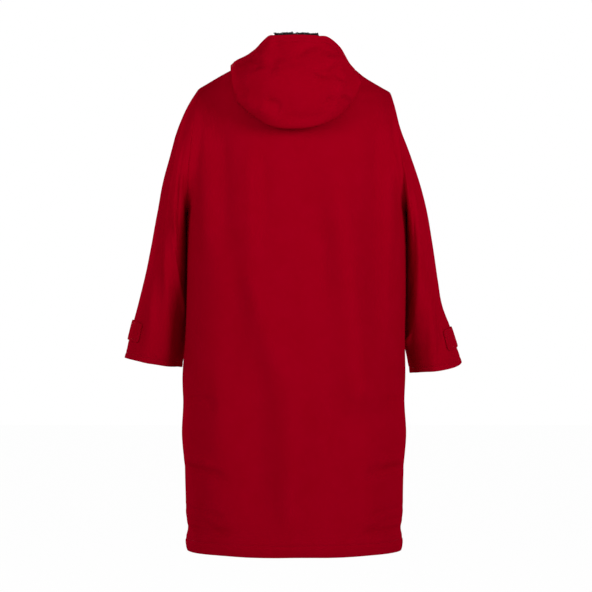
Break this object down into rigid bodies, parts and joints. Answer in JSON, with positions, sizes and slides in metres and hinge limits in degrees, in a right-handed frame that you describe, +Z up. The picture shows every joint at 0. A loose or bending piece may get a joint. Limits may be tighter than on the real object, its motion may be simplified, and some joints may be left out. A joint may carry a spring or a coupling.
{
  "type": "hooded changing robe",
  "caption": "Child's long hooded changing robe, zipped at the front and filled out as if worn, with long loose sleeves, cuff tabs and its pile-lined hood lying down on the back.",
  "frame": {"origin": "between the shoulders, at the height of the base of the neck, where the wearer carries the robe", "axes": "+Z up along the robe, +Y out of its back, +X towards the wearer's left"},
  "size_m": [0.6345, 0.2949, 0.9252],
  "materials": {
    "shell": "closely woven matt red shell cloth with a faint sheen",
    "pile": "charcoal curly pile",
    "zip_tape": "black woven tape",
    "zip_teeth": "satin black moulded teeth",
    "zip_metal": "dull grey metal"
  },
  "bodies": {
    "robe": {"back": "shell", "front_left": "shell", "front_right": "shell", "sleeve_left": "shell", "sleeve_right": "shell", "hood_left": "shell", "hood_centre": "shell", "hood_right": "shell", "hood_lining": "pile", "cuff_tab_left": "shell", "cuff_tab_right": "shell", "zip_tape_left": "zip_tape", "zip_tape_right": "zip_tape", "zip_chain": "zip_teeth", "zip_slider": "zip_metal"},
    "pull": {"zip_pull": "zip_metal"}
  },
  "joints": [
    {"name": "pull_hinge", "type": "hinge", "parent": "robe", "child": "pull", "pos_m": [0, -0.08523, -0.04368], "axis": [-1, 0, 0], "range_deg": [0, 150]}
  ]
}
